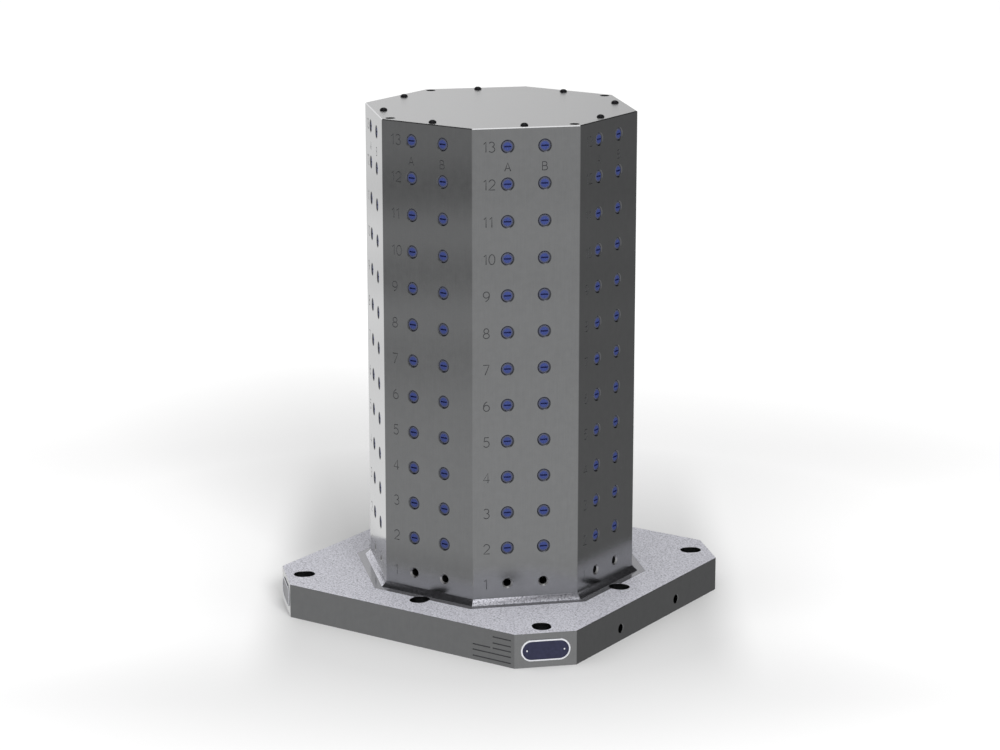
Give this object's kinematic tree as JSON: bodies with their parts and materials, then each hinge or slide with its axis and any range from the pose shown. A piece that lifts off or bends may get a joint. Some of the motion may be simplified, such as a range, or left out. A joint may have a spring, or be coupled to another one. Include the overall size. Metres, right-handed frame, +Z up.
{
  "type": "tombstone fixture",
  "caption": "Hollow eight-sided cast iron fixture tower on a square bolt-down base, with numbered rows of plugged fixture holes on every face.",
  "frame": {"origin": "centre of the base's underside", "axes": "+Z up the column; the base's sides lie along X and Y; the base's near left side in the picture looks along -Y and its right side along +X"},
  "size_m": [0.492, 0.492, 0.7033],
  "materials": {
    "ground_iron": "grey iron, ground faces on the column and base sides, as-cast speckle on the base's top",
    "cover_steel": "smooth ground plate",
    "black_screws": "black oxide steel",
    "nameplate": "dark printed plate with a pale border, bare of words",
    "blue_plugs": "moulded blue plastic"
  },
  "bodies": {
    "root": {"column_casting": "ground_iron", "cover_plate": "cover_steel", "cover_screws": "black_screws", "nameplate_front": "nameplate", "nameplate_left": "nameplate", "plugs_face_1_a": "blue_plugs", "plugs_face_1_b": "blue_plugs", "plugs_face_2_a": "blue_plugs", "plugs_face_2_b": "blue_plugs", "plugs_face_3_a": "blue_plugs", "plugs_face_3_b": "blue_plugs", "plugs_face_4_a": "blue_plugs", "plugs_face_4_b": "blue_plugs", "plugs_face_5_a": "blue_plugs", "plugs_face_5_b": "blue_plugs", "plugs_face_6_a": "blue_plugs", "plugs_face_6_b": "blue_plugs", "plugs_face_7_a": "blue_plugs", "plugs_face_7_b": "blue_plugs", "plugs_face_8_a": "blue_plugs", "plugs_face_8_b": "blue_plugs"}
  },
  "joints": []
}
